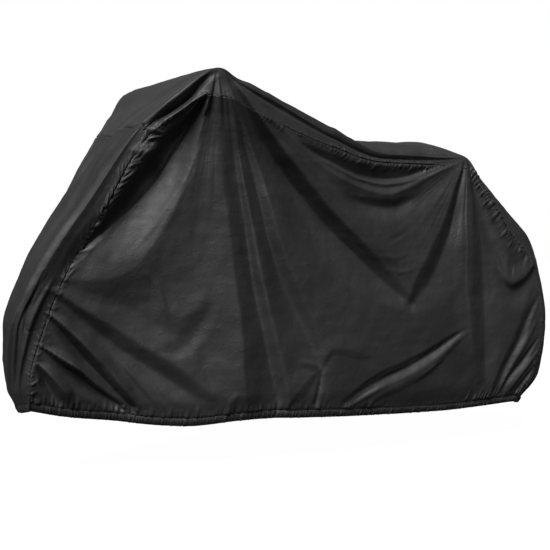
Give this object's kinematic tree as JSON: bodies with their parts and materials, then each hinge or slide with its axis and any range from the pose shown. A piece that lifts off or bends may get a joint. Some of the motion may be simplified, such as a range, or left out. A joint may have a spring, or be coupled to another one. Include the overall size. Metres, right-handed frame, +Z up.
{
  "type": "bicycle cover",
  "caption": "Fitted black nylon cover draped over a bicycle, gathered at its hem and tented over the handlebar and the saddle.",
  "frame": {"origin": "under the top panel at the middle of the handlebar, where the covered bicycle holds the cover up", "axes": "+X towards the rear of the covered bicycle, +Y towards its right side, +Z up"},
  "size_m": [1.8557, 0.5922, 1.073],
  "materials": {
    "side_left_nylon": "black satin nylon",
    "side_right_nylon": "black satin nylon",
    "front_nylon": "black satin nylon",
    "top_nylon": "black satin nylon"
  },
  "bodies": {
    "root": {"side_panel_left": "side_left_nylon", "side_panel_right": "side_right_nylon", "front_panel": "front_nylon", "top_panel": "top_nylon"}
  },
  "joints": []
}
